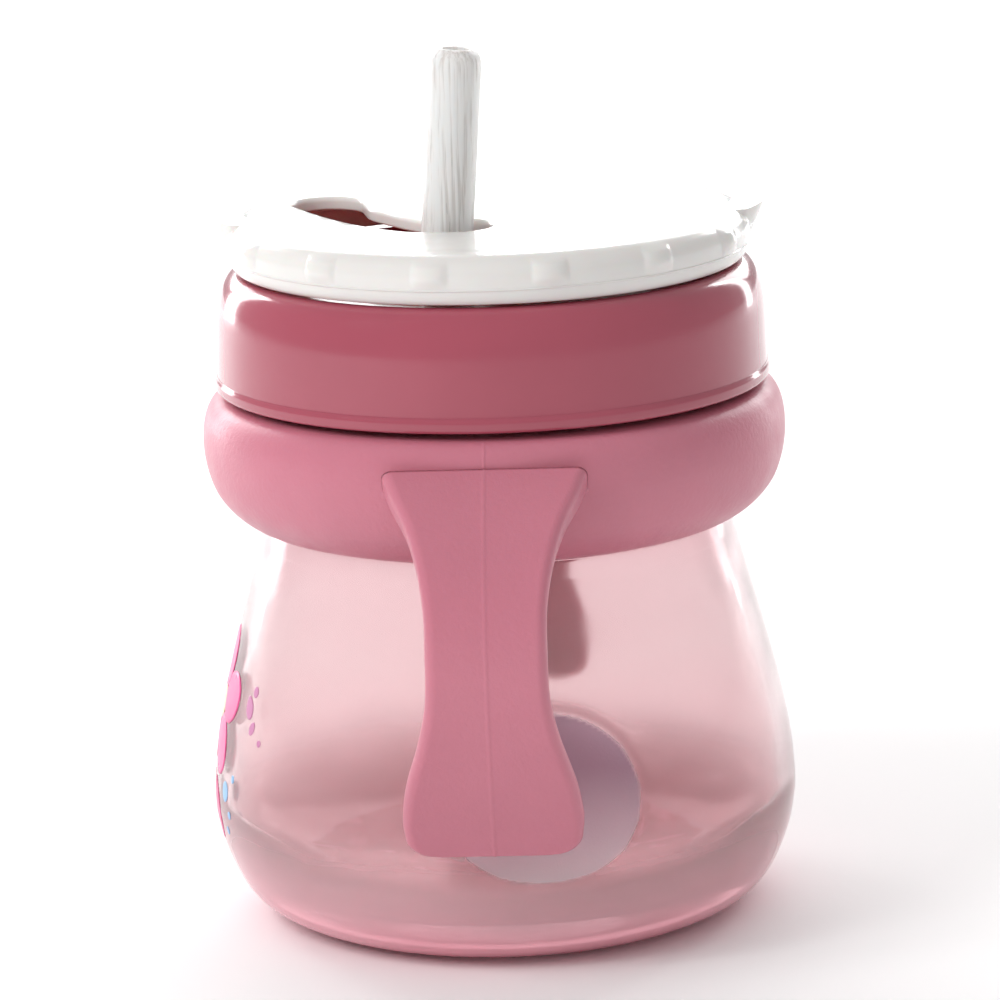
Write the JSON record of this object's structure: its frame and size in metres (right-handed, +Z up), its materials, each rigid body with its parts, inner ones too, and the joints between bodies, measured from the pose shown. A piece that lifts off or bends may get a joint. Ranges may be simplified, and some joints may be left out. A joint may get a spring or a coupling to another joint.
{
  "type": "straw cup",
  "caption": "Small drinking cup with looped side handles on a turning ring, a screw collar, a bent-down straw and a twist cover that hides it.",
  "frame": {"origin": "centre of the foot ring, on the surface the cup stands on", "axes": "+Z up through the lid, the two handles on -Y and +Y"},
  "size_m": [0.084, 0.113, 0.1255],
  "materials": {
    "cup_body": "clear pink, glossy",
    "handle_ring": "satin",
    "screw_collar": "glossy",
    "lid_gasket": "silicone",
    "twist_cover": "glossy",
    "cover_retainer": "satin",
    "straw_base": "milky silicone",
    "straw_spout": "milky silicone",
    "dip_tube": "milky",
    "vent_valve": "silicone"
  },
  "bodies": {
    "cup": {"cup_body": "cup_body"},
    "handles": {"handle_ring": "handle_ring"},
    "seal": {"lid_gasket": "lid_gasket"},
    "lid": {"screw_collar": "screw_collar", "straw_base": "straw_base", "dip_tube": "dip_tube", "vent_valve": "vent_valve"},
    "cover": {"twist_cover": "twist_cover", "cover_retainer": "cover_retainer"},
    "straw": {"straw_spout": "straw_spout"}
  },
  "joints": [
    {"name": "handle_ring_turn", "type": "hinge", "parent": "cup", "child": "handles", "pos_m": [0, 0, 0.0667], "axis": [0, 0, 1], "continuous": true},
    {"name": "lid_lift", "type": "slide", "parent": "cup", "child": "seal", "axis": [0, 0, 1], "range_m": [0, 0.006]},
    {"name": "lid_turn", "type": "hinge", "parent": "seal", "child": "lid", "pos_m": [0, 0, 0.083], "axis": [0, 0, 1], "range_deg": [0, 540]},
    {"name": "cover_turn", "type": "hinge", "parent": "lid", "child": "cover", "pos_m": [0, 0, 0.0985], "axis": [0, 0, 1], "range_deg": [-130, 0]},
    {"name": "straw_fold", "type": "hinge", "parent": "lid", "child": "straw", "pos_m": [-0.0057, -0.0112, 0.094], "axis": [-0.7466, -0.6652, 0], "range_deg": [0, 92.7], "deforming": ["straw_spout"]}
  ],
  "couplings": [
    {"joint": "lid_turn", "follows": "lid_lift", "rad_per_m": 1570.8},
    {"joint": "straw_fold", "follows": "cover_turn", "ratio": -0.713}
  ]
}
